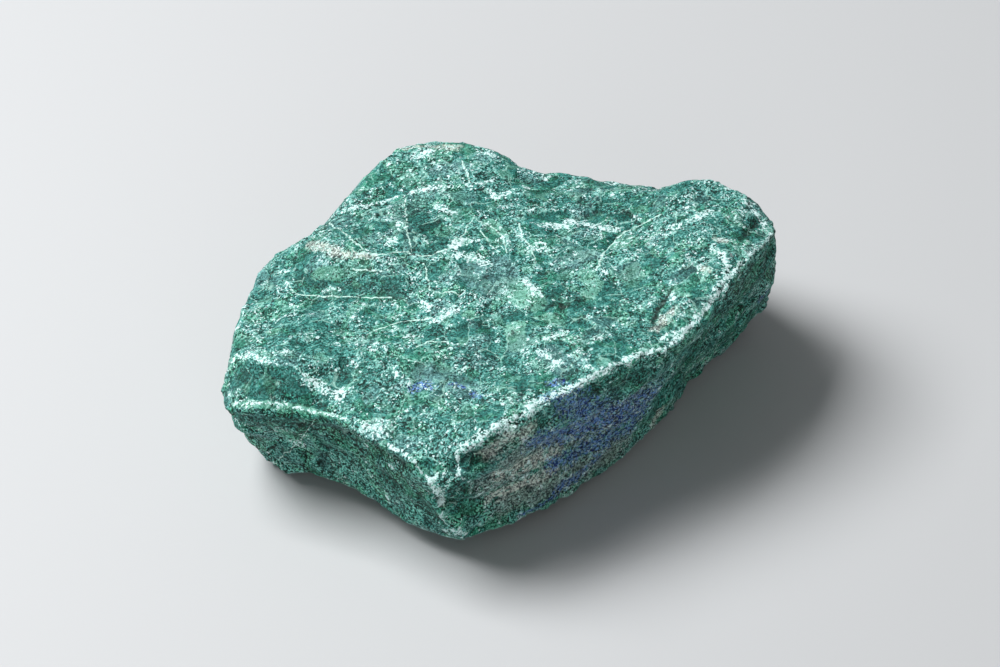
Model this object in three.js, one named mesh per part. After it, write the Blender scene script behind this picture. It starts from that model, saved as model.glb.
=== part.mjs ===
// A rough hand piece of massive malachite with azurite, broken on every side.
// Millimetres, X to the right, Y away from the front corner, Z up. The stone lies on its flat spot at Z = 0.
import * as THREE from 'three';
import { ConvexHull } from 'three/addons/math/ConvexHull.js';
import { ImprovedNoise } from 'three/addons/math/ImprovedNoise.js';

// Driving dimensions
const stoneWidth = 78;
const stoneDepth = 76;
const stoneHeight = 27.5;

// Fineness of the faceted body and how far the broken surface wanders from its main planes
const longestEdge = 2.9;
const ridgeAngle = THREE.MathUtils.degToRad(24);
const relaxRounds = 4;
const openPull = 0.55;
const ridgePull = 0.3;
const turningRounds = 4;
const restHeight = 0;
const fullReliefHeight = 1.5;

// Corners of the stone, each [x, y, z], placed on a stone of the driving dimensions.
// The brow is the edge between the top and the left front face, from the left end to the front corner.
const leftBrow = [
  [-38.7, -21.9, 15.2],
  [-37, -23.7, 17.2],
  [-34.8, -24.3, 18.2],
  [-30.5, -25.4, 18.6],
  [-27, -27.4, 19.2],
  [-23.3, -29.2, 20.3],
  [-20.7, -31.5, 20.8],
  [-18.9, -33.9, 20.4],
  [-16.9, -35.5, 20.3],
  [-13.6, -37.7, 19.8],
  [-11.5, -39.7, 17.8],
  [-10.2, -40.9, 16],
];
// A shoulder above the brow closes the small sloping facet at the left end.
const leftShoulder = [
  [-38.3, -14.6, 19.2],
  [-35, -17.2, 21.5],
  [-32.1, -19.6, 22],
  [-30, -21.3, 22.2],
  [-28.8, -24.6, 21.4],
];
// The brow of the right front face climbs from the front corner over a knob to the right end.
const rightBrow = [
  [-8.6, -39.9, 17.5],
  [-7.2, -39.8, 18.8],
  [-7.2, -37.5, 21.3],
  [-5.1, -37.4, 22.3],
  [-2.2, -36.4, 24],
  [1.2, -34.5, 24.8],
  [5.5, -32.3, 25.2],
  [9, -30, 25.5],
  [11.8, -28.6, 25.7],
  [15.7, -26.2, 26],
  [21.2, -23.4, 24.8],
  [24.3, -20.3, 24.9],
  [25.8, -18.6, 24.6],
  [28.3, -15.1, 25.7],
  [29.3, -14, 26.7],
  [30.2, -12.8, 27.5],
  [32.9, -7.9, 26.8],
  [34.7, -5.6, 26.3],
  [36.6, -2.9, 25.7],
  [37.8, -1.1, 25.1],
];
const knobNotch = [
  [-4, -38.6, 19],
  [-5.6, -38.7, 18.4],
];
// The rim runs from the left tip round the back to the right end.
const backRim = [
  [-39.5, -16.4, 16],
  [-37.6, -8.4, 18.6],
  [-36.7, -4.3, 18.4],
  [-36, -0.3, 18],
  [-34.7, 5.2, 17],
  [-27.7, 9.3, 18.4],
  [-21.7, 17.8, 18.4],
  [-16.8, 25.3, 18.4],
  [-13.5, 29.1, 18.8],
  [-9.2, 29.4, 19],
  [-3.5, 26.6, 19.6],
  [0.7, 24.1, 19.8],
  [3.5, 21.1, 19.6],
  [9.1, 20.5, 19.6],
  [14.1, 19.1, 20],
  [18.2, 16.2, 20.5],
  [21.6, 14.1, 21],
  [24, 12.8, 22],
  [26.4, 11.6, 24],
  [29.9, 11.5, 25],
  [33.9, 8.1, 25.3],
  [35.9, 5.8, 24.8],
  [36.6, 8.4, 21.2],
  [38, 3.4, 23],
];
// The top: a ledge at the left, a broad slope in the middle and a raised block at the right.
const topLedge = [
  [-32.1, 4.2, 18],
  [-30, -0.4, 19.3],
  [-28.6, -3.8, 20],
  [-23.9, -4.7, 20.2],
  [-18.7, -5.3, 20.8],
  [-16, -6.2, 21.3],
  [-24.2, 3.4, 22],
  [-20.4, 1.8, 22.6],
  [-16.7, 1.4, 22.9],
  [-11.8, 1, 22.5],
];
const topSlope = [
  [-34, -9, 19.6],
  [-24.3, -14.3, 21],
  [-14.7, -15.9, 22],
  [-25.6, -23.6, 21.1],
  [-17.5, -27.4, 21.6],
  [-10.9, -32, 21.8],
  [-4.7, 0, 23],
  [-0.8, -9.7, 23],
  [-3.9, -21.7, 23],
  [4.3, -21.3, 24],
  [7.4, -12.3, 24],
  [12.6, -18.6, 24.8],
  [11.5, -11.2, 24.6],
  [3.2, -13.1, 23.6],
  [-10.1, 12.7, 21.5],
  [-3.1, 11.7, 22],
  [5.3, 9, 22],
  [13.6, 7.9, 22.5],
  [19.1, 4.2, 23.6],
  [12.2, -5, 24.2],
];
const raisedBlock = [
  [26, 4, 25.2],
  [19.1, -18.6, 24.8],
  [22.7, -11.6, 25.3],
  [22.9, -15.8, 26.6],
  [19.6, -20.6, 25.3],
  [26.9, -5.5, 27],
  [29.7, -4.1, 27.4],
  [32.2, 2, 26.6],
  [25.1, -13.5, 26.8],
  [18.3, -13.1, 25],
  [21.5, -3.6, 25.6],
  [34.1, -0.2, 26.2],
  [32.4, -3.8, 27.3],
  [35.2, -0.2, 25.2],
];
// Close under the two brows, where the faces turn in.
const underBrows = [
  [-35.6, -22.3, 13.8],
  [-31.2, -24.3, 15],
  [-27.3, -25.9, 15.2],
  [-23, -28.2, 15.6],
  [-19.8, -31, 15.2],
  [-16.3, -34.3, 15.4],
  [-12.4, -37.8, 14.4],
  [-1.6, -36, 19.5],
  [2.5, -34, 20.2],
  [7.3, -30.5, 20],
  [11.5, -27.6, 20],
  [16.3, -24.6, 20.8],
  [20.2, -21.8, 20.4],
  [23.3, -19.2, 20.6],
  [26.6, -15.9, 20.5],
  [29.6, -11.6, 21],
  [33.2, -6.4, 21.5],
  [36, -2.4, 21.8],
];
// Half-way down the two front faces and the right end.
const frontFaces = [
  [-39.2, -17.5, 14],
  [-37.8, -20.3, 10.5],
  [-34.2, -20.4, 9.5],
  [-28.9, -23.3, 11],
  [-22.1, -28.2, 11.5],
  [-15.4, -34, 11],
  [-9.7, -38.9, 10.1],
  [-4.6, -35.6, 10],
  [1, -32.9, 12.8],
  [6.5, -28.5, 13],
  [13.5, -24, 14],
  [19.2, -19.9, 14.5],
  [25.1, -11.5, 13],
  [31.1, -3.6, 14],
  [34.6, -2.2, 15.5],
  [37.8, 0.2, 20],
  [36.8, 1.6, 13.5],
  [37.6, 4.8, 11],
];
// The lower edge hangs a few millimetres clear of the ground along the front.
const frontFoot = [
  [-37.5, -17.4, 7],
  [-35.7, -16.2, 3.8],
  [-34.5, -16.5, 1],
  [-32.2, -20, 2.5],
  [-28.7, -21.7, 3.2],
  [-23.8, -25.6, 4.4],
  [-19.7, -28.6, 4],
  [-15.7, -31.2, 3.4],
  [-11.6, -34.3, 3.3],
  [-6.9, -36.7, 3.3],
  [-3.5, -34.5, 2.5],
  [0.7, -31.9, 2.2],
  [6.3, -28.2, 1.6],
  [13.4, -21.6, 1.3],
  [19.3, -14.8, 1.5],
  [24.7, -5.7, 1],
  [27, -1.9, 1],
  [29.3, 1.5, 1.2],
  [32.2, 4, 1.8],
  [34.5, 5.3, 2.5],
  [36, 4, 6.5],
];
// The back face bulges below the rim and is broken in steps.
const backFace = [
  [-39, -10, 11.5],
  [-37.8, -2, 13],
  [-37, 3.5, 7.5],
  [-33, 9.5, 12],
  [-30, 14, 6],
  [-26.5, 17, 13],
  [-23.5, 22, 7],
  [-19.5, 27.5, 12.5],
  [-15.5, 31.5, 7],
  [-10, 33, 13.5],
  [-5.5, 33.2, 8],
  [-0.5, 29.5, 14],
  [3, 28.5, 6.5],
  [7, 24, 13],
  [12.5, 25.5, 8.5],
  [17.5, 21, 14.5],
  [22, 21, 7.5],
  [26, 17, 16.5],
  [29.5, 17.5, 9.5],
  [33, 13, 17.5],
  [36, 11.5, 9],
  [37.8, 6.5, 16],
];
const backFoot = [
  [-35.5, -8, 3],
  [-34, 0, 2],
  [-30.5, 8, 1],
  [-27.5, 14.5, 1.8],
  [-22.5, 21, 0.8],
  [-17.5, 28.5, 2],
  [-11.5, 32, 1],
  [-4.5, 33.5, 2.6],
  [2, 29.5, 1],
  [7.5, 27, 2],
  [14.5, 24.5, 1],
  [20.5, 21.5, 2],
  [26.5, 18.5, 1.2],
  [32, 14, 3],
  [36, 8.5, 3],
];
// The underside slopes in from the lower edge to the spot it rests on.
const underside = [
  [-28, -12, 0.9],
  [-17, -22, 1.4],
  [-6, -27, 1.2],
  [6, -20, 0.7],
  [17, -8, 0.6],
  [25, 4, 0.7],
  [22, 13, 0.7],
  [10, 19, 0.6],
  [-5, 24, 0.6],
  [-17, 17, 0.6],
  [-27, 3, 0.7],
];
const restingSpot = [
  [-18, -6, -0.9],
  [-14, -14, -0.9],
  [-4, -18, -0.9],
  [6, -12, -0.9],
  [13, -3, -0.9],
  [15, 6, -0.9],
  [5, 13, -0.9],
  [-8, 14, -0.9],
  [-18, 6, -0.9],
  [-3, -2, -1.1],
];
const corners = [
  leftBrow, leftShoulder, rightBrow, knobNotch, backRim, topLedge, topSlope, raisedBlock,
  underBrows, frontFaces, frontFoot, backFace, backFoot, underside, restingSpot,
].flat().map((corner) => new THREE.Vector3(...corner));

// Neighbouring corners are joined as seen from a point inside the stone, from which all of it is in view.
const heart = new THREE.Vector3(-1, -3, 11);
const flatness = 2.4;

function joinCorners(points) {
  const directions = points.map((point) => {
    const direction = point.clone().sub(heart);
    direction.z *= flatness;
    return direction.normalize();
  });
  const numberOf = new Map(directions.map((direction, number) => [direction, number]));
  const hull = new ConvexHull().setFromPoints(directions);
  const faces = hull.faces.map((face) => {
    const first = face.edge;
    return [first, first.next, first.next.next].map((edge) => numberOf.get(edge.head().point));
  });
  return { points: points.map((point) => point.clone()), faces };
}

const edgeKey = (a, b) => (a < b ? `${a},${b}` : `${b},${a}`);
const edgesOf = ([a, b, c]) => [[a, b], [b, c], [c, a]];

// Every edge longer than the limit is cut in half, and the faces beside it are cut to suit.
function splitLongEdges(body, limit) {
  const points = [...body.points];
  const middles = new Map();
  const middleOf = (a, b) => {
    const key = edgeKey(a, b);
    if (!middles.has(key) && points[a].distanceTo(points[b]) > limit) {
      middles.set(key, points.length);
      points.push(points[a].clone().lerp(points[b], 0.5));
    }
    return middles.get(key);
  };
  const faces = body.faces.flatMap(([a, b, c]) => {
    const [ab, bc, ca] = edgesOf([a, b, c]).map(([from, to]) => middleOf(from, to));
    const cut = [ab, bc, ca].filter((middle) => middle !== undefined).length;
    if (cut === 0) return [[a, b, c]];
    if (cut === 3) return [[a, ab, ca], [ab, b, bc], [ca, bc, c], [ab, bc, ca]];
    if (cut === 1) {
      if (ab !== undefined) return [[a, ab, c], [ab, b, c]];
      if (bc !== undefined) return [[b, bc, a], [bc, c, a]];
      return [[c, ca, b], [ca, a, b]];
    }
    if (ab === undefined) return [[c, ca, bc], [ca, a, b], [ca, b, bc]];
    if (bc === undefined) return [[a, ab, ca], [ab, b, c], [ab, c, ca]];
    return [[b, bc, ab], [bc, c, a], [bc, a, ab]];
  });
  return { points, faces, changed: middles.size > 0 };
}

function normalOf(points, [a, b, c]) {
  const along = points[b].clone().sub(points[a]);
  const across = points[c].clone().sub(points[a]);
  return along.cross(across);
}

// For every point, the points it shares an edge with, and those of them that it shares a ridge with.
function neighboursOf({ points, faces }) {
  const beside = new Map();
  for (const face of faces) {
    const normal = normalOf(points, face).normalize();
    for (const [from, to] of edgesOf(face)) {
      const key = edgeKey(from, to);
      beside.set(key, [...(beside.get(key) ?? []), normal]);
    }
  }
  const around = points.map(() => []);
  const alongRidge = points.map(() => []);
  for (const [key, [one, other]] of beside) {
    const [from, to] = key.split(',').map(Number);
    const lists = one.angleTo(other) > ridgeAngle ? [around, alongRidge] : [around];
    for (const list of lists) {
      list[from].push(to);
      list[to].push(from);
    }
  }
  return { around, alongRidge };
}

function averageOf(vectors, numbers) {
  const sum = new THREE.Vector3();
  numbers.forEach((number) => sum.add(vectors[number]));
  return sum.divideScalar(numbers.length);
}

// The surface between the ridges is drawn taut and smooth. A ridge is smoothed only along its own line,
// and a corner where ridges meet stays.
function relax({ points }, { around, alongRidge }, rounds) {
  for (let round = 0; round < rounds; round += 1) {
    const before = points.map((point) => point.clone());
    points.forEach((point, number) => {
      const ridge = alongRidge[number];
      if (ridge.length === 0) point.lerp(averageOf(before, around[number]), openPull);
      if (ridge.length === 2) point.lerp(averageOf(before, ridge), ridgePull);
    });
  }
}

// Which way is outward at each point, turning gradually across a ridge so that relief never folds it.
function outwardAt({ points, faces }, { around }, rounds) {
  let outward = points.map(() => new THREE.Vector3());
  for (const face of faces) {
    const normal = normalOf(points, face);
    face.forEach((number) => outward[number].add(normal));
  }
  outward.forEach((direction) => direction.normalize());
  for (let round = 0; round < rounds; round += 1) {
    outward = outward.map((direction, number) => (
      direction.clone().add(averageOf(outward, around[number])).normalize()
    ));
  }
  return outward;
}

// Relief of the broken surface: broad humps, lumps on them and small chips. Each place is a different
// part of the noise.
const humps = { size: 13, height: 0.9, place: 3.3 };
const lumps = { size: 5.5, height: 0.7, place: 11.9 };
const chips = { size: 2.9, height: 0.35, place: 5.6 };
const noise = new ImprovedNoise();

function noiseAt(point, { size, place }) {
  return noise.noise(point.x / size + place, point.y / size - place, point.z / size + 2 * place);
}

// The layers of the rock lie nearly along the top, which rises to the right and falls to the back.
const layerNormal = new THREE.Vector3(-0.17, 0.14, 1).normalize();
const layerThickness = 5.2;
const layerWaves = { size: 12, height: 3, place: 21.7 };
const stepHeight = 1.1;
const stepShare = 0.3;
const stepMiddle = 0.5;
const usualStep = 0.6;
const stepChange = { size: 12, height: 1, place: 8.1 };

// On the steep faces one layer stands a little proud of the next, so the face falls back above each step.
function layerRelief(point, outward) {
  const height = point.dot(layerNormal) + layerWaves.height * noiseAt(point, layerWaves);
  const through = height / layerThickness - Math.floor(height / layerThickness);
  const risen = THREE.MathUtils.smoothstep(through, 0, stepShare);
  const fallen = THREE.MathUtils.smoothstep(through, stepShare, 1);
  const steepness = 1 - Math.abs(outward.dot(layerNormal));
  const strength = usualStep + stepChange.height * noiseAt(point, stepChange);
  return stepHeight * steepness * strength * (risen - fallen - stepMiddle);
}

function roughen(body, outward) {
  body.points.forEach((point, number) => {
    let relief = layerRelief(point, outward[number]);
    for (const bumps of [humps, lumps, chips]) {
      relief += bumps.height * noiseAt(point, bumps);
    }
    const share = THREE.MathUtils.smoothstep(point.z, restHeight, fullReliefHeight);
    point.addScaledVector(outward[number], relief * share);
  });
}

// The stone is worn flat where it rests.
function flattenBelow(body, height) {
  body.points.forEach((point) => {
    point.z = Math.max(point.z, height);
  });
}

function makeGeometry({ points, faces }) {
  const geometry = new THREE.BufferGeometry();
  geometry.setFromPoints(points);
  geometry.setIndex(faces.flat());
  geometry.computeBoundingBox();
  const size = geometry.boundingBox.getSize(new THREE.Vector3());
  const middle = geometry.boundingBox.getCenter(new THREE.Vector3());
  geometry.translate(-middle.x, -middle.y, -geometry.boundingBox.min.z);
  geometry.scale(stoneWidth / size.x, stoneDepth / size.y, stoneHeight / size.z);
  geometry.computeVertexNormals();
  return geometry;
}

let body = joinCorners(corners);
do {
  body = splitLongEdges(body, longestEdge);
} while (body.changed);
const neighbours = neighboursOf(body);
relax(body, neighbours, relaxRounds);
roughen(body, outwardAt(body, neighbours, turningRounds));
flattenBelow(body, restHeight);

const malachite = new THREE.MeshStandardMaterial({
  color: new THREE.Color(0.1, 0.25, 0.2),
  roughness: 0.62,
  metalness: 0,
  flatShading: true,
});
const stone = new THREE.Mesh(makeGeometry(body), malachite);
stone.name = 'stone';

const specimen = new THREE.Group();
specimen.add(stone);

export default specimen;
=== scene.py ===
import math

import bmesh
import bpy
import numpy as np
from mathutils import Matrix, Vector
from mathutils.bvhtree import BVHTree


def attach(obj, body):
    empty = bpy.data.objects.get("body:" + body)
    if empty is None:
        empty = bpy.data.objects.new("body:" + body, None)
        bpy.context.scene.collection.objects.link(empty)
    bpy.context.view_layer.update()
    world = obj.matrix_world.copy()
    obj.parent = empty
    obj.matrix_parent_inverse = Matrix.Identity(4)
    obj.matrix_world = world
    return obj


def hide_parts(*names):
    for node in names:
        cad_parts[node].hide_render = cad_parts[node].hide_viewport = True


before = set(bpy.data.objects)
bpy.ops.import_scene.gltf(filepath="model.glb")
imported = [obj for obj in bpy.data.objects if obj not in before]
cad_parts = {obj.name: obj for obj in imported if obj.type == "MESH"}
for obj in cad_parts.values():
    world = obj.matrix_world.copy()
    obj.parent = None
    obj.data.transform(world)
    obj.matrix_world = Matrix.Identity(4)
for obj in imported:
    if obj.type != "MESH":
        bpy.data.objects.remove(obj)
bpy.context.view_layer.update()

# The camera
# A long lens looks down on the stone from the front, turned a little about its own axis. It comes first,
# because the places of the markings on the stone are given by the pixels where this camera sees them.
mm = 0.001
image_width = 1000
image_height = 667
focal_pixels = 5200.0
pixels_per_mm = 7.0
sensor_width = 36.0
looking_down = math.radians(42.0)
turned = math.radians(2.3)
aim = Vector((-0.5, 12.0, 0.0)) * mm

level_up = Vector((0, math.sin(looking_down), math.cos(looking_down)))
view_right = Vector((math.cos(turned), 0, 0)) - level_up * math.sin(turned)
view_up = Vector((math.sin(turned), 0, 0)) + level_up * math.cos(turned)
view_back = view_right.cross(view_up)
eye = aim + view_back * (focal_pixels / pixels_per_mm * mm)

lens = bpy.data.cameras.new("camera")
lens.sensor_width = sensor_width
lens.lens = focal_pixels / image_width * sensor_width
camera = bpy.data.objects.new("camera", lens)
camera.matrix_world = Matrix.Translation(eye) @ Matrix((view_right, view_up, view_back)).transposed().to_4x4()
bpy.context.collection.objects.link(camera)
bpy.context.scene.camera = camera


# The body of the stone
# One piece of massive malachite with a little azurite, broken on every side and never polished. It starts
# as a copy of the modelled stone, welded and cut finer, on which the markings and the relief are laid.
weld = 0.001 * mm
cuts_per_edge = 3

stone_work = bmesh.new()
stone_work.from_mesh(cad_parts["stone"].data)
bmesh.ops.remove_doubles(stone_work, verts=stone_work.verts, dist=weld)
bmesh.ops.subdivide_edges(stone_work, edges=stone_work.edges, cuts=cuts_per_edge, use_grid_fill=True)
stone_work.normal_update()
surface = BVHTree.FromBMesh(stone_work)
stone_mesh = bpy.data.meshes.new("stone surface")
stone_work.to_mesh(stone_mesh)
stone_work.free()
stone = bpy.data.objects.new("stone_surface", stone_mesh)
bpy.context.collection.objects.link(stone)

# The modelled stone brings the normals of its flat facets along, which would show through the relief.
stone_mesh.attributes.remove(stone_mesh.attributes["custom_normal"])


def of_points(name):
    """A vector of every point of the stone, one row each."""
    values = np.empty(len(stone_mesh.vertices) * 3)
    stone_mesh.vertices.foreach_get(name, values)
    return values.reshape(-1, 3)


points = of_points("co") / mm
normals = of_points("normal")


# The markings of the stone
# Veins, bruises and patches of other minerals are drawn as strokes on the surface. A stroke is half its
# width in millimetres and then the pixels it runs through. Each kind becomes an attribute of the points.
step_along_stroke = 1.0


def on_stone(pixel):
    """The place on the stone that the camera sees at a pixel, in millimetres, or None beside the stone."""
    across = (pixel[0] - image_width / 2) / focal_pixels
    upward = (image_height / 2 - pixel[1]) / focal_pixels
    place = surface.ray_cast(eye, view_right * across + view_up * upward - view_back)[0]
    return None if place is None else np.array(place) / mm


def trace(pixels):
    """Places on the stone under a line drawn through pixels, at most about a step apart."""
    pixels = [np.array(pixel, float) for pixel in pixels]
    drawn = [pixels[0]]
    for start, end in zip(pixels[:-1], pixels[1:]):
        count = math.ceil(np.linalg.norm(end - start) / (pixels_per_mm * step_along_stroke))
        drawn += [start + (end - start) * number / count for number in range(1, count + 1)]
    places = [on_stone(pixel) for pixel in drawn]
    return [place for place in places if place is not None]


def offset_from(line):
    """For every point, the way to it from the nearest place on a line, and its length, in millimetres."""
    offset = points - line[0]
    distance = np.linalg.norm(offset, axis=1)
    for start, end in zip(line[:-1], line[1:]):
        along = end - start
        share = np.clip((points - start) @ along / (along @ along), 0, 1)
        other = points - start - share[:, None] * along
        other_distance = np.linalg.norm(other, axis=1)
        nearer = other_distance < distance
        offset[nearer] = other[nearer]
        distance[nearer] = other_distance[nearer]
    return offset, distance


def amount_of(strokes):
    """1 along the middle of the strokes, falling evenly to 0 at their edges."""
    amount = np.zeros(len(points))
    for half_width, *pixels in strokes:
        distance = offset_from(trace(pixels))[1]
        amount = np.maximum(amount, 1 - distance / half_width)
    return amount


def store(name, values, kind="FLOAT"):
    """Keeps one number or one vector for every point, for the relief and the colours."""
    attribute = stone_mesh.attributes.new(name, kind, "POINT")
    attribute.data.foreach_set("value" if kind == "FLOAT" else "vector", np.ravel(values))


# Azurite stands in streaks along the layers of the right front face, with small spots on the top.
azurite_strokes = [
    (3.6, (570, 404), (592, 411), (612, 409), (632, 403), (650, 398)),
    (3.2, (538, 440), (560, 434), (590, 425), (620, 418), (640, 412)),
    (2.6, (556, 462), (584, 448), (604, 440), (628, 432)),
    (1.2, (556, 490), (580, 474), (600, 456)),
    (0.7, (520, 514), (534, 510), (552, 498)),
    (1.4, (546, 398), (556, 394), (566, 395)),
    (1.2, (414, 388), (431, 385)),
    (0.7, (452, 384), (464, 387)),
    (0.6, (472, 392), (480, 398)),
    (1.0, (549, 384), (562, 380)),
    (1.0, (759, 299), (767, 289)),
]
# Pale grey host rock shows on the upper left ledge, on the right front face and by the raised block.
pale_rock_strokes = [
    (1.5, (310, 244), (326, 247), (342, 253)),
    (1.0, (346, 254), (372, 256)),
    (2.4, (488, 450), (504, 441), (530, 430)),
    (2.3, (500, 474), (530, 463), (556, 452)),
    (1.6, (490, 498), (524, 484), (556, 470)),
    (1.6, (655, 421), (661, 412)),
    (0.9, (716, 238), (725, 241)),
    (1.0, (702, 268), (708, 270)),
    (1.5, (656, 328), (664, 318), (676, 310)),
    (1.1, (404, 148), (430, 146), (458, 147)),
    (0.9, (439, 492), (441, 504)),
]
# Smooth pale green malachite in rounded patches.
pale_strokes = [
    (1.7, (619, 245), (630, 241)),
    (1.2, (624, 278), (635, 267)),
    (1.7, (586, 274), (594, 284), (590, 294)),
    (2.4, (508, 284), (520, 296), (534, 302)),
    (1.8, (515, 326), (518, 346)),
    (1.1, (580, 256), (590, 254)),
    (1.2, (488, 222), (500, 232)),
    (1.3, (548, 318), (556, 322)),
    (1.4, (318, 273), (336, 272)),
    (0.8, (232, 405), (254, 405), (282, 406), (304, 410), (330, 416)),
]
# Dark, smoother malachite with few bruises. Some strokes are painted shade on dim faces.
dark_malachite_and_shade_strokes = [
    (3.4, (414, 212), (430, 228), (428, 244)),
    (2.6, (306, 281), (340, 278), (376, 283), (400, 287)),
    # Widened on the shoulder as painted shade.
    (3.6, (246, 380), (266, 382), (286, 391)),
    (2.6, (246, 423), (280, 421), (316, 427), (338, 434)),
    (2.6, (360, 441), (386, 462), (404, 474)),
    # Painted shade on the low front face by the corner.
    (3.0, (380, 466), (404, 486), (428, 508)),
    (2.2, (600, 388), (620, 381), (640, 374)),
    (1.6, (466, 464), (474, 456), (482, 451)),
    (2.6, (452, 486), (462, 500), (470, 512)),
    (2.8, (590, 206), (610, 208), (628, 210)),
    (1.6, (545, 300), (562, 305), (582, 300)),
    (1.6, (741, 236), (752, 226), (760, 218)),
    # Painted shade over the right end.
    (3.4, (692, 350), (716, 318), (744, 282), (766, 266)),
]
# Bluish grey, smooth patches.
slate_strokes = [
    (3.2, (474, 272), (494, 286)),
    (2.2, (500, 262), (508, 276)),
    (2.0, (438, 170), (460, 166)),
    (2.4, (565, 262), (590, 256)),
    (2.2, (548, 352), (562, 368)),
    (1.8, (320, 456), (326, 464)),
    (2.4, (540, 408), (560, 402)),
    (1.4, (756, 304), (768, 290)),
    (2.0, (500, 460), (484, 476)),
    (2.6, (424, 372), (446, 378), (470, 390)),
]
# Dull grey rock, thinly veined with green, fills the middle of the right front face.
dull_rock_strokes = [
    (5.0, (496, 480), (520, 458), (560, 440), (600, 426), (630, 408)),
    (4.0, (510, 500), (545, 488), (585, 468), (618, 446)),
]
# Crushed, almost white malachite where the stone was knocked, above all along the brows.
bruise_strokes = [
    (0.45, (442, 492), (450, 482), (459, 474)),
    (0.6, (459, 474), (457, 452)),
    (1.3, (462, 448), (474, 443), (495, 429), (509, 423), (540, 402), (565, 390)),
    (1.1, (565, 388), (588, 379), (613, 367), (639, 354), (665, 349)),
    (1.0, (665, 347), (684, 333), (698, 320), (712, 302), (724, 288), (727, 274), (725, 257), (713, 247)),
    (0.5, (727, 280), (745, 260), (766, 242), (773, 234)),
    (0.9, (743, 201), (757, 214), (768, 230)),
    (0.45, (230, 404), (254, 404), (282, 405), (304, 409)),
    (0.45, (309, 412), (339, 416), (356, 424)),
    (1.5, (364, 424), (378, 431)),
    (0.6, (388, 446), (402, 452), (417, 466)),
    (0.4, (417, 466), (427, 480), (436, 491)),
    (1.0, (439, 493), (440, 503)),
    (0.5, (441, 503), (442, 519), (450, 530)),
    (1.3, (306, 378), (322, 388), (340, 394)),
    (0.7, (230, 355), (252, 355), (268, 361)),
    (0.6, (382, 202), (404, 196), (420, 190), (447, 187), (467, 184), (487, 183)),
    (0.8, (344, 210), (362, 206), (382, 202)),
    (1.6, (414, 156), (426, 153)),
    (0.8, (484, 153), (492, 156)),
    (1.3, (494, 196), (508, 192)),
    (1.2, (438, 205), (450, 213)),
    (1.4, (453, 246), (466, 240)),
    (1.7, (456, 255), (472, 257), (484, 264)),
    (1.0, (421, 303), (428, 308)),
    (1.6, (436, 319), (450, 312)),
    (0.8, (394, 330), (398, 327)),
    (0.8, (390, 244), (393, 238)),
    (0.8, (397, 228), (399, 222)),
    (0.7, (331, 289), (340, 289)),
    (1.6, (571, 221), (590, 225)),
    (1.2, (548, 226), (567, 226)),
    (1.1, (591, 226), (618, 229)),
    (1.0, (547, 337), (563, 333)),
    (1.0, (671, 226), (678, 224)),
    (1.4, (695, 218), (706, 210)),
    (1.3, (665, 337), (675, 333)),
    (1.2, (540, 350), (548, 356)),
    (0.9, (523, 279), (541, 296)),
    (1.1, (560, 362), (548, 370)),
    (1.0, (290, 441), (306, 447)),
    (0.5, (432, 478), (446, 471)),
    (0.5, (440, 530), (466, 534)),
]
marking_strokes = {
    "azurite": azurite_strokes,
    "pale_rock": pale_rock_strokes,
    "pale": pale_strokes,
    "shade": dark_malachite_and_shade_strokes,
    "slate": slate_strokes,
    "dull_rock": dull_rock_strokes,
    "bruise": bruise_strokes,
}
for marking, strokes in marking_strokes.items():
    store(marking, amount_of(strokes))

# Fine pale veins, thinner than the mesh is fine. Each point keeps the way from the nearest vein, counted in
# half widths, because that stays exact between the points, and how far the vein is in millimetres.
vein_strokes = [
    (0.12, (358, 254), (374, 254), (398, 251), (418, 255), (429, 255), (447, 249), (465, 240)),
    (0.11, (405, 198), (406, 218), (408, 234), (412, 252)),
    (0.11, (424, 263), (427, 277), (431, 290), (447, 293), (466, 294)),
    (0.08, (287, 281), (293, 291), (299, 296), (332, 297), (364, 296), (392, 297)),
    (0.14, (329, 222), (344, 233), (361, 246)),
    (0.11, (474, 218), (462, 234), (449, 246)),
    (0.11, (476, 219), (490, 226), (503, 236), (507, 254)),
    (0.10, (480, 230), (490, 244), (499, 252)),
    (0.12, (519, 222), (522, 237), (531, 247), (536, 262)),
    (0.10, (462, 160), (468, 176), (470, 184)),
    (0.12, (352, 269), (384, 271)),
    (0.14, (596, 268), (600, 260), (609, 246), (618, 236), (628, 229), (644, 223), (660, 214)),
    (0.07, (318, 414), (300, 442), (270, 466)),
    (0.12, (417, 346), (430, 341), (448, 342)),
    (0.11, (372, 332), (400, 322), (436, 318)),
]
no_vein_within = 9.0
vein_offset = np.full(points.shape, no_vein_within)
vein_distance = np.full(len(points), no_vein_within)
for half_width, *pixels in vein_strokes:
    offset, distance = offset_from(trace(pixels))
    offset -= normals * (offset * normals).sum(axis=1)[:, None]
    nearer = distance < vein_distance
    vein_offset[nearer] = offset[nearer] / half_width
    vein_distance[nearer] = distance[nearer]
store("vein", vein_offset, "FLOAT_VECTOR")
store("vein_distance", vein_distance)

# Carved lines and pits: half a width and a depth in millimetres, then pixels. First the crevice by the
# raised block, then cracks, and last a low step and the small notch behind the front corner.
carved_strokes = [
    (0.6, 0.7, (670, 289), (664, 298), (657, 308), (652, 320)),
    (0.5, 0.2, (594, 267), (599, 259), (606, 247), (614, 238), (622, 231), (638, 226), (654, 218)),
    (0.5, 0.25, (543, 310), (555, 304), (565, 306), (579, 306), (585, 299), (591, 296)),
    (0.8, 0.35, (738, 243), (748, 231), (759, 220)),
    (0.7, 0.35, (706, 318), (719, 297), (731, 274), (740, 250)),
    (0.5, 0.3, (262, 372), (266, 384), (269, 390)),
    (0.7, 0.12, (299, 299), (332, 300), (364, 300), (392, 300)),
    (0.6, 0.3, (452, 468), (461, 462), (470, 452)),
]
carved_pits = [
    (0.5, 0.5, (343, 341), (344, 342)),
    (0.5, 0.5, (292, 360), (293, 361)),
    (0.6, 0.5, (448, 160), (450, 160)),
    (0.7, 0.5, (319, 462), (322, 462)),
    (0.6, 0.4, (250, 365), (253, 365)),
]
carved = np.zeros(len(points))
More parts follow.
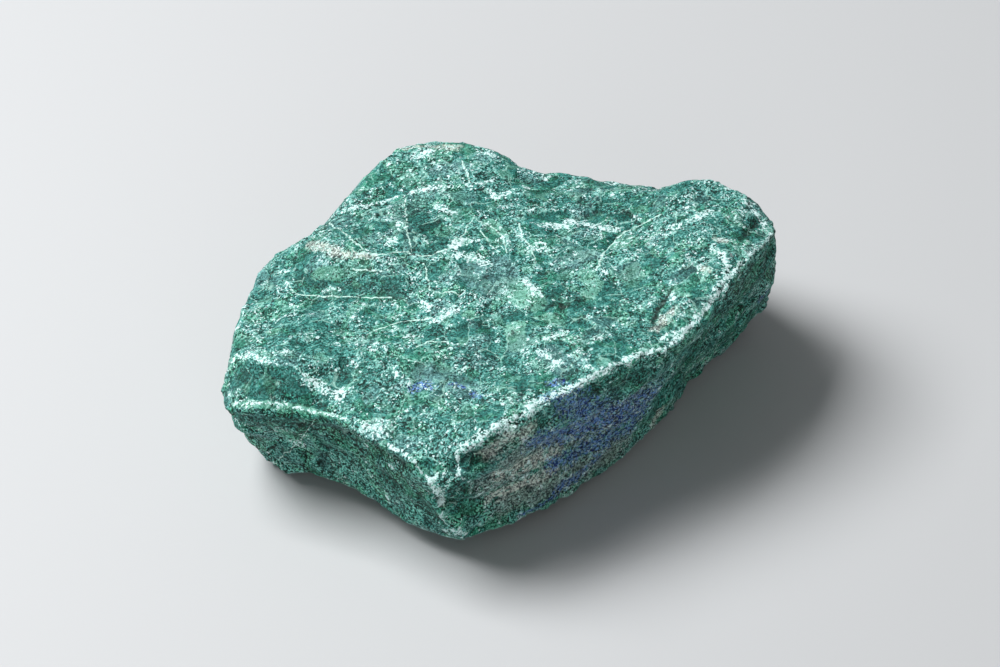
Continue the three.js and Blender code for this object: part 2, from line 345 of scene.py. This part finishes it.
for half_width, depth, *pixels in carved_strokes + carved_pits:
    distance = offset_from(trace(pixels))[1]
    carved = np.maximum(carved, depth * np.clip(1 - distance / half_width, 0, 1))
store("carved", carved)


# The relief of the broken surface
# The break runs in small tilted facets with a grain on them, and the steep faces show the rock's layers
# on edge. Geometry Nodes lay it on the body and store how far each point stands proud, for the colours.
layer_normal = Vector((-0.17, 0.14, 1)).normalized()


class Wire:
    """One output in a node tree. Sums written with it add Math nodes to that tree."""

    def __init__(self, tree, socket=None):
        self.tree = tree
        self.socket = socket

    def add(self, kind, settings=None, values=None, output=0):
        """Adds a node, makes its settings, fills or links its inputs and gives the wire of one output."""
        node = self.tree.nodes.new(kind)
        for name, value in (settings or {}).items():
            if name == "stops":
                set_stops(node.color_ramp, value)
            else:
                setattr(node, name, value)
        for name, value in (values or {}).items():
            if isinstance(value, Wire):
                self.tree.links.new(value.socket, node.inputs[name])
            else:
                node.inputs[name].default_value = value
        return Wire(self.tree, node.outputs[output] if node.outputs else None)

    def also(self, output):
        """Another output of the node that this wire comes from."""
        return Wire(self.tree, self.socket.node.outputs[output])

    def maths(self, operation, *values):
        return self.add("ShaderNodeMath", {"operation": operation}, dict(enumerate(values)))

    def __add__(self, other):
        return self.maths("ADD", self, other)

    def __sub__(self, other):
        return self.maths("SUBTRACT", self, other)

    def __rsub__(self, other):
        return self.maths("SUBTRACT", other, self)

    def __mul__(self, other):
        return self.maths("MULTIPLY", self, other)

    def __truediv__(self, other):
        return self.maths("DIVIDE", self, other)

    def __rtruediv__(self, other):
        return self.maths("DIVIDE", other, self)

    __radd__ = __add__
    __rmul__ = __mul__

    def vector(self, operation, *others, output="Vector"):
        """Vector maths with this wire as the first vector."""
        values = dict(enumerate((self,) + others))
        return self.add("ShaderNodeVectorMath", {"operation": operation}, values, output)

    def plus(self, other):
        return self.vector("ADD", other)

    def minus(self, other):
        return self.vector("SUBTRACT", other)

    def scaled(self, factor):
        return self.add("ShaderNodeVectorMath", {"operation": "SCALE"}, {0: self, "Scale": factor})

    def dot(self, other):
        return self.vector("DOT_PRODUCT", other, output="Value")

    def rising(self, low, high):
        """0 below low, 1 above high and smooth between them."""
        limits = {"Value": self, "From Min": low, "From Max": high}
        return self.add("ShaderNodeMapRange", {"interpolation_type": "SMOOTHSTEP"}, limits)

    def noise(self, size, octaves=2.0, roughness=0.5, shift=0.0, output="Fac"):
        """Noise around 0.5 with blotches of a size, at places given by this wire."""
        place = self.plus((shift, shift, shift))
        values = {"Vector": place, "Scale": 1 / size, "Detail": octaves, "Roughness": roughness}
        return self.add("ShaderNodeTexNoise", None, values, output)

    def astray(self, size, distance):
        """This place led astray by up to about half a distance, so that patterns on it lose their order."""
        way = self.noise(size, output="Color").minus((0.5, 0.5, 0.5))
        return self.plus(way.scaled(distance))

    def squeezed(self, direction, thickness, length):
        """This place counted in lengths, but along a direction in thicknesses: noise then lies in layers."""
        across = self.add("ShaderNodeCombineXYZ", None, dict(enumerate(direction)))
        extra = self.dot(tuple(direction)) * (1 / thickness - 1 / length)
        return self.scaled(1 / length).plus(across.scaled(extra))

    def grains(self, size, shift=0.0, settings=None, output="Color"):
        """Random cells of a size, each with its own colour, at places given by this wire."""
        values = {"Vector": self.plus((shift, shift, shift)), "Scale": 1 / size}
        return self.add("ShaderNodeTexVoronoi", settings, values, output)

    def from_grain_edge(self, size):
        """How far places given by this wire are from the edge of their cell, in cell sizes."""
        return self.grains(size, settings={"feature": "DISTANCE_TO_EDGE"}, output="Distance")

    def facets(self, size, shift=0.0):
        """Small planes, each about a size across and tilted its own way, around 0."""
        cells = self.grains(size, shift)
        from_middle = self.plus((shift, shift, shift)).minus(cells.also("Position"))
        return cells.minus((0.5, 0.5, 0.5)).dot(from_middle) / size


def set_stops(ramp, stops):
    """Lays a colour ramp's stops, each a place from 0 to 1 and a colour."""
    while len(ramp.elements) < len(stops):
        ramp.elements.new(1.0)
    for element, (place, colour) in zip(ramp.elements, stops):
        element.position = place
        element.color = colour


def new_input(name, kind):
    """Adds a named input to the relief's tree and gives the identifier of its socket."""
    return relief_tree.interface.new_socket(name, in_out="INPUT", socket_type=kind).identifier


# Sizes of the relief in millimetres. Fragments also show in the colours, and wander leads them astray.
fragment_size = 3.4
wander_size = 2.5
wander = 1.5
relief_tree = bpy.data.node_groups.new("broken surface", "GeometryNodeTree")
relief_inputs = {}
relief_sizes = {
    "Fragment size": fragment_size,
    "Fragment height": 0.7,
    "Chip size": 1.5,
    "Chip height": 0.2,
    "Grain size": 0.75,
    "Grain height": 0.12,
    "Ridge chip size": 1.8,
    "Ridge chip depth": 0.45,
    "Layer thickness": 0.85,
    "Layer length": 5.0,
    "Layer height": 0.55,
}
new_input("Body", "NodeSocketGeometry")
for name in relief_sizes:
    relief_inputs[name] = new_input(name, "NodeSocketFloat")
relief_inputs["Material"] = new_input("Material", "NodeSocketMaterial")
relief_tree.interface.new_socket("Surface", in_out="OUTPUT", socket_type="NodeSocketGeometry")
group_input = relief_tree.nodes.new("NodeGroupInput")
relief = Wire(relief_tree)
position = relief.add("GeometryNodeInputPosition")
normal = relief.add("GeometryNodeInputNormal")


def given(name):
    return Wire(relief_tree, group_input.outputs[name])


def blurred(value, rounds, weight=1.0):
    values = {"Value": value, "Iterations": rounds, "Weight": weight}
    return relief.add("GeometryNodeBlurAttribute", {"data_type": "FLOAT_VECTOR"}, values)


def standing_proud(rounds):
    """How far points stand out from the mean of their surroundings, in millimetres."""
    return position.minus(blurred(position, rounds)).dot(normal) / mm


def moved_by(geometry, offset):
    return relief.add("GeometryNodeSetPosition", None, {"Geometry": geometry, "Offset": offset})


def moved_to(geometry, new_position):
    return relief.add("GeometryNodeSetPosition", None, {"Geometry": geometry, "Position": new_position})


def stored(geometry, name, value):
    values = {"Geometry": geometry, "Name": name, "Value": value}
    return relief.add("GeometryNodeStoreNamedAttribute", {"data_type": "FLOAT", "domain": "POINT"}, values)


# The flat faces of the modelled stone are drawn into one another, but hardly across its ridges.
draw_rounds = 4
ridge_angles = (math.radians(8), math.radians(15))
ridge_hold = 0.85
ridge = relief.add("GeometryNodeInputMeshEdgeAngle").rising(*ridge_angles)
body = moved_to(given("Body"), blurred(position, draw_rounds, 1 - ridge * ridge_hold))

# Fragments, chips and grain lie all over, and the ridges are chipped. The layers stand on edge where a
# face is steep and looks to the right. Last come the carved cracks.
ridge_rounds = 12
to_the_right = (1, 0, 0)
wandering = position.scaled(1 / mm).astray(wander_size, wander)
steepness = 1 - normal.maths("ABSOLUTE", normal.dot(tuple(layer_normal)))
layered = steepness * normal.dot(to_the_right).rising(-0.5, 0.3)
layer_place = wandering.squeezed(layer_normal, given("Layer thickness"), given("Layer length"))
layers = layer_place.noise(1.0, octaves=3.0, roughness=0.6) - 0.5
grain = wandering.noise(given("Grain size"), roughness=0.6) - 0.5
ridge_chips = wandering.noise(given("Ridge chip size"), roughness=0.6, shift=55.0).rising(0.45, 0.65)
on_ridge = standing_proud(ridge_rounds).rising(0.15, 0.5)
carved_depth = relief.add("GeometryNodeInputNamedAttribute", {"data_type": "FLOAT"}, {"Name": "carved"})
height = (
    wandering.facets(given("Fragment size")) * given("Fragment height")
    + wandering.facets(given("Chip size"), 31.0) * given("Chip height")
    + grain * given("Grain height")
    + layers * layered.rising(0.15, 0.7) * given("Layer height")
    - ridge_chips * on_ridge * given("Ridge chip depth")
    - carved_depth
)
body = moved_by(body, normal.scaled(height * mm))

# The stone still lies flat: nothing reaches below the ground.
parts = relief.add("ShaderNodeSeparateXYZ", None, {"Vector": position}, "X")
height_above_ground = relief.maths("MAXIMUM", parts.also("Z"), 0.0)
above_ground = {"X": parts, "Y": parts.also("Y"), "Z": height_above_ground}
body = moved_to(body, relief.add("ShaderNodeCombineXYZ", None, above_ground))

# What the colours need to know of the relief.
near_rounds = 3
wide_rounds = 20
body = stored(body, "proud", standing_proud(near_rounds))
body = stored(body, "proud_wide", standing_proud(wide_rounds))
body = stored(body, "steepness", steepness)
body = stored(body, "layered", layered)
body = relief.add("GeometryNodeSetShadeSmooth", None, {"Geometry": body})
body = relief.add("GeometryNodeRealizeInstances", None, {"Geometry": body})
body = relief.add("GeometryNodeSetMaterial", None, {"Geometry": body, "Material": given("Material")})
group_output = relief_tree.nodes.new("NodeGroupOutput")
relief_tree.links.new(body.socket, group_output.inputs["Surface"])


# The colours of the stone
# Deep green malachite, dusty where it broke, with crushed white-green grains along every edge, dark gaps
# between them, blue azurite, grey rock and fine pale veins. All of it is dull, with a faint sheen.
# Some of it is painted light: shade on steep faces, in hollows and cracks, and glints in the white grains.
malachite = bpy.data.materials.new("rough malachite")
malachite.use_nodes = True
malachite.node_tree.nodes.clear()
paint = Wire(malachite.node_tree)


def tint(red, green, blue):
    """A colour from the 0 to 255 values that a screen shows."""
    return tuple(((part / 255 + 0.055) / 1.055) ** 2.4 for part in (red, green, blue)) + (1.0,)


def attribute(name, output="Fac"):
    return paint.add("ShaderNodeAttribute", {"attribute_name": name}, output=output)


def mixed(share, below, above, way="MIX"):
    """A share of one colour over another. The numbers are those of the node's sockets for colours."""
    values = {0: share, 6: below, 7: above}
    settings = {"data_type": "RGBA", "blend_type": way, "clamp_factor": True}
    return paint.add("ShaderNodeMix", settings, values, 2)


def larger(first, second):
    return paint.maths("MAXIMUM", first, second)


def smaller(first, second):
    return paint.maths("MINIMUM", first, second)


def either(first, second):
    """1 where one of two masks is 1, or both."""
    return 1 - (1 - first) * (1 - second)


def random_of(cells, number):
    """One of the three random numbers of each grain, around 0."""
    return cells.dot(tuple(float(number == other) for other in range(3))) - 0.5


# Noise of several sizes, broken fragments, grains of three sizes and streaks along the layers. Sizes are in
# millimetres. Noise and streaks lie around 0. Shifts keep patterns on the same places from agreeing.
large_grain = 0.85
middle_grain = 0.42
small_grain = 0.22
streak_thickness = 0.3
streak_length = 3.5
object_place = paint.add("ShaderNodeTexCoord", output="Object").scaled(1 / mm)
shaken = object_place.astray(0.5, 0.5)
wandering = object_place.astray(wander_size, wander)
broad = object_place.noise(9.0) - 0.5
blotches = object_place.noise(2.4, octaves=3.0, roughness=0.6, shift=40.0) - 0.5
mottling = shaken.noise(0.8, octaves=3.0, roughness=0.7, shift=80.0) - 0.5
speckle = object_place.noise(0.2, roughness=0.8, shift=120.0) - 0.5
streak_place = wandering.squeezed(layer_normal, streak_thickness, streak_length)
streaks = streak_place.noise(1.0, octaves=3.0, roughness=0.65) - 0.5
fragments = wandering.grains(fragment_size)
splinters = wandering.grains(fragment_size / 2, 29.0)
large_grains = shaken.grains(large_grain, 11.0)
middle_grains = shaken.grains(middle_grain, 23.0)
small_grains = shaken.grains(small_grain, 47.0)

# What the relief stored. Sharp edges stand very proud, so both heights are cut off at a limit.
# Below 0, in hollows, nothing cuts them, and there they darken the colours as painted shade.
proud_limit = 0.1
proud_wide_limit = 0.3
proud = smaller(attribute("proud"), proud_limit)
proud_wide = smaller(attribute("proud_wide"), proud_wide_limit)
steep = attribute("steepness").rising(0.25, 0.75)
layered = attribute("layered").rising(0.25, 0.75)
ragged = blotches * 0.7 + mottling * 0.9 + random_of(middle_grains, 0) * 0.3


def patch(name, low, high, raggedness=1.0, streakiness=0.0):
    """Where a marking is, from 0 to 1, with a ragged edge that breaks up along the grains or the layers."""
    amount = attribute(name)
    edge = amount + ragged * raggedness + streaks * streakiness
    return edge.rising(low, high) * amount.rising(0.0, 0.1)


azurite = patch("azurite", 0.0, 0.9, raggedness=1.1, streakiness=1.3)
pale_rock = patch("pale_rock", 0.1, 0.8, streakiness=1.4)
pale = patch("pale", 0.2, 0.3, raggedness=0.5)
shade = patch("shade", 0.1, 0.5, raggedness=0.8)
slate = patch("slate", 0.1, 0.5, raggedness=0.8)
dull_rock = patch("dull_rock", 0.0, 0.6, streakiness=1.0)
bruise = patch("bruise", 0.15, 0.9, raggedness=1.2)
near_vein = 1 - attribute("vein_distance").rising(0.2, 1.1)

# Some fragments are smooth and others crumbly. Grains show most where the stone is crumbly.
crumbliness = (
    random_of(fragments, 1) * 0.7
    + blotches * 0.9
    + mottling * 0.4
    + bruise * 0.6
    + azurite * 0.4
    + pale_rock * 0.3
    - shade * 0.25
    - slate * 0.3
    - pale * 0.15
    - near_vein * 0.1
    - steep * 0.12
)
crumbly = 0.4 + crumbliness.rising(-0.4, 0.2) * 0.6

# The tone of the stone runs from deep to dusty and every colour follows it; some terms are painted light.
grainy = (
    speckle * 1.8
    + mottling * 0.4
    + random_of(large_grains, 0) * 0.1
    + random_of(middle_grains, 0) * 0.25
    + random_of(small_grains, 0) * 0.85
)
tone = (
    0.4
    + broad * 0.1
    + blotches * 0.11
    + random_of(fragments, 0) * 0.09
    + random_of(splinters, 0) * 0.1
    # Grain contrast raised on steep faces: painted light and shade for light grazing the grains.
    + grainy * crumbly * (1.1 + steep * 1.6)
    + streaks * layered * 0.5
    # Painted light on steep faces turned to the right.
    + layered * 0.05
    # Lifted a little on ridges; in hollows the heights are negative, which gives painted shade.
    + proud * 0.8
    + proud_wide * 0.15
    + pale * 0.05
    - shade * 0.12
    # Painted shade on steep faces.
    - steep * 0.07
)


def toned(colours, low=0.1, high=0.7):
    """From the first to the second of two colours as the tone rises."""
    return mixed(tone.rising(low, high), *colours)


# Malachite in its greens. Some splinters are leaf green, mint or slate. Steep faces get bluer painted shade.
malachite_greens = [
    (0.0, tint(2, 36, 31)),
    (0.15, tint(7, 65, 58)),
    (0.3, tint(22, 91, 83)),
    (0.45, tint(40, 116, 108)),
    (0.6, tint(65, 145, 137)),
    (0.8, tint(109, 184, 176)),
    (1.0, tint(171, 216, 212)),
]
leaf_cast = tint(225, 255, 215)
steep_face_painted_shade = tint(194, 248, 236)
mint_greens = (tint(51, 124, 101), tint(138, 198, 176))
slate_greens = (tint(38, 76, 82), tint(138, 174, 180))
leafy = (random_of(splinters, 1) + broad * 1.5).rising(0.1, 0.3)
minty = (random_of(splinters, 2) + blotches * 0.3).rising(0.4, 0.42)
slaty = (random_of(fragments, 2) + blotches * 0.4).rising(0.3, 0.34)
colour = paint.add("ShaderNodeValToRGB", {"stops": malachite_greens}, {"Fac": tone})
colour = mixed(leafy * 0.6, colour, leaf_cast, "MULTIPLY")
colour = mixed(larger(pale * 0.6, minty * 0.4), colour, toned(mint_greens, 0.0, 0.8))
colour = mixed(larger(slate * 0.45, slaty * 0.3), colour, toned(slate_greens, 0.1, 0.8))
# Painted shade: steep faces darker and bluer.
colour = mixed(steep, colour, steep_face_painted_shade, "MULTIPLY")

# Other rock and azurite. The azurite is a dull dark ground with bright blue grains in it.
dull_rock_greys = (tint(50, 62, 64), tint(170, 181, 178))
pale_rock_greys = (tint(92, 102, 100), tint(226, 230, 220))
azurite_ground = (tint(18, 30, 40), tint(142, 162, 174))
azurite_blues = (tint(10, 36, 102), tint(86, 136, 206))
blue_grains = random_of(small_grains, 2) + random_of(middle_grains, 1) * 0.6 + azurite * 0.45
blue = azurite.rising(0.0, 0.3) * blue_grains.rising(0.25, 0.45)
colour = mixed(dull_rock * 0.6, colour, toned(dull_rock_greys))
colour = mixed(pale_rock * 0.65, colour, toned(pale_rock_greys))
colour = mixed(azurite * 0.6, colour, toned(azurite_ground))
colour = mixed(blue * 0.85, colour, toned(azurite_blues))

# Fine pale veins that waver a little, and hair lines between the fragments.
vein_waver = 6.0
vein_reach = (0.6, 0.9)
vein_white = tint(206, 244, 234)
hair_green = tint(176, 230, 216)
vein_shift = object_place.noise(1.3, shift=3.0, output="Color").minus((0.5, 0.5, 0.5)).scaled(vein_waver)
from_vein = attribute("vein", "Vector").plus(vein_shift).vector("LENGTH", output="Value")
vein = (1 - from_vein.rising(0.8, 1.6)) * (1 - attribute("vein_distance").rising(*vein_reach))
vein = vein * (ragged + random_of(small_grains, 0) * 0.8).rising(-0.8, -0.1)
hair = 1 - wandering.from_grain_edge(fragment_size).rising(0.008, 0.03)
hair = hair * (object_place.noise(2.5, shift=61.0) - 0.5 - steep * 0.1).rising(-0.02, 0.08)
colour = mixed(vein * 0.9, colour, vein_white)
colour = mixed(hair * 0.5, colour, hair_green)

# Crushed grains are white or mint. They lie thickest on the bruises and on all that stands proud.
# The white specks are partly painted glints, sparkles of light on grain faces laid into the colour.
crushed_limit = 0.4
fairly_crumbly = 0.85
crushed_mints = (tint(76, 158, 142), tint(162, 217, 206))
crushed_white_and_glints = tint(222, 250, 250)
clumps = (blotches + mottling * 0.6).rising(0.12, 0.24)
crushing = (
    clumps * 0.3
    + blotches * 0.25
    + mottling * 0.35
    + broad * 0.1
    + proud * 0.8
    + bruise * 0.4
    + (crumbly - fairly_crumbly) * 0.2
    - shade * 0.08
    - steep * 0.08
)
crushed = smaller(crushing, crushed_limit)
mint = either(
    (random_of(large_grains, 1) + crushed * 0.7).rising(0.4, 0.45),
    (random_of(middle_grains, 1) + crushed * 0.7).rising(0.34, 0.39),
)
# Crushed white grains and painted glints.
white_specks_and_glints = either(
    (random_of(middle_grains, 2) + crushed * 0.9).rising(0.52, 0.56),
    (random_of(small_grains, 1) + crushed).rising(0.455, 0.495),
)
colour = mixed(mint * 0.5, colour, toned(crushed_mints, 0.1, 0.9))
colour = mixed(white_specks_and_glints * 0.85, colour, crushed_white_and_glints)

# Gaps between the grains are dark, and the bottoms of the cracks get painted shade.
gap_dark = tint(6, 34, 30)
crack_shade = tint(9, 38, 33)
small_gaps = random_of(small_grains, 2) - crumbly * 0.1 + crushed * 0.3 + pale_rock * 0.1
filled = small_gaps.rising(-0.5, -0.47) * random_of(middle_grains, 0).rising(-0.49, -0.485)
cracks = attribute("carved").rising(0.15, 0.5)
colour = mixed((1 - filled) * 0.75, colour, gap_dark)
# Painted shade in the carved cracks and pits.
colour = mixed(cracks * 0.7, colour, crack_shade)

# The finest relief: small facets and grain everywhere, and thin layers on edge where the face is layered.
coarse_facet = 0.6
fine_facet = 0.28
fine_grit = 0.35
bump_strength = 0.9
bump_depth = 0.45 * mm
sheen = 0.35
thin_layers = object_place.squeezed(layer_normal, streak_thickness, streak_length)
bump_height = (
    object_place.facets(coarse_facet, 11.0) * 0.35
    + object_place.facets(fine_facet, 23.0) * 0.35
    + object_place.noise(fine_grit, roughness=0.7, shift=80.0) * 0.45
    + thin_layers.noise(1.0, roughness=0.65) * layered * 0.35
)
bump_values = {"Strength": bump_strength, "Distance": bump_depth, "Height": bump_height}
finish = paint.add("ShaderNodeBsdfPrincipled", None, {
    "Base Color": colour,
    "Roughness": 0.65 - random_of(small_grains, 0) * 0.5,
    "Specular IOR Level": sheen,
    "Normal": paint.add("ShaderNodeBump", None, bump_values),
})
paint.add("ShaderNodeOutputMaterial", None, {"Surface": finish})

# The relief is laid on the body and the result is kept as a plain mesh.
modifier = stone.modifiers.new("broken surface", "NODES")
modifier.node_group = relief_tree
for name, size in relief_sizes.items():
    modifier[relief_inputs[name]] = size
modifier[relief_inputs["Material"]] = malachite
evaluated = stone.evaluated_get(bpy.context.evaluated_depsgraph_get())
finished_mesh = bpy.data.meshes.new_from_object(evaluated)
stone.modifiers.remove(modifier)
stone.data = finished_mesh
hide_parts("stone")
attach(stone, "root")


# The floor and the light
# A plain pale floor, a wide soft lamp above and a little behind, and a weak one from the front, so that
# the top is bright and both front faces are dim, as on the real stone.
half_floor = 2.0
floor_grey = (0.48, 0.49, 0.5, 1)
floor_roughness = 0.6
room_white = (0.85, 0.87, 0.88, 1)
room_strength = 0.2

floor_mesh = bpy.data.meshes.new("floor")
floor_corners = [
    (-half_floor, -half_floor, 0),
    (half_floor, -half_floor, 0),
    (half_floor, half_floor, 0),
    (-half_floor, half_floor, 0),
]
floor_mesh.from_pydata(floor_corners, [], [(0, 1, 2, 3)])
floor = bpy.data.objects.new("floor", floor_mesh)
bpy.context.collection.objects.link(floor)
paper = bpy.data.materials.new("pale floor")
paper.use_nodes = True
paper_surface = paper.node_tree.nodes["Principled BSDF"]
paper_surface.inputs["Base Color"].default_value = floor_grey
paper_surface.inputs["Roughness"].default_value = floor_roughness
floor_mesh.materials.append(paper)


def soft_lamp(name, place, size, power):
    """A square lamp that shines at the stone, with its place and size in metres and its power in watts."""
    light = bpy.data.lights.new(name, "AREA")
    light.size = size
    light.energy = power
    lamp = bpy.data.objects.new(name, light)
    lamp.location = place
    lamp.rotation_euler = (-Vector(place)).to_track_quat("-Z", "Y").to_euler()
    bpy.context.collection.objects.link(lamp)


soft_lamp("lamp above", place=(-0.36, 0.12, 0.6), size=0.4, power=8.2)
soft_lamp("lamp in front", place=(0.08, -0.8, 0.25), size=0.5, power=1.4)

room = bpy.data.worlds.new("room")
room.use_nodes = True
room.node_tree.nodes["Background"].inputs["Color"].default_value = room_white
room.node_tree.nodes["Background"].inputs["Strength"].default_value = room_strength
bpy.context.scene.world = room
bpy.context.scene.view_settings.view_transform = "Standard"
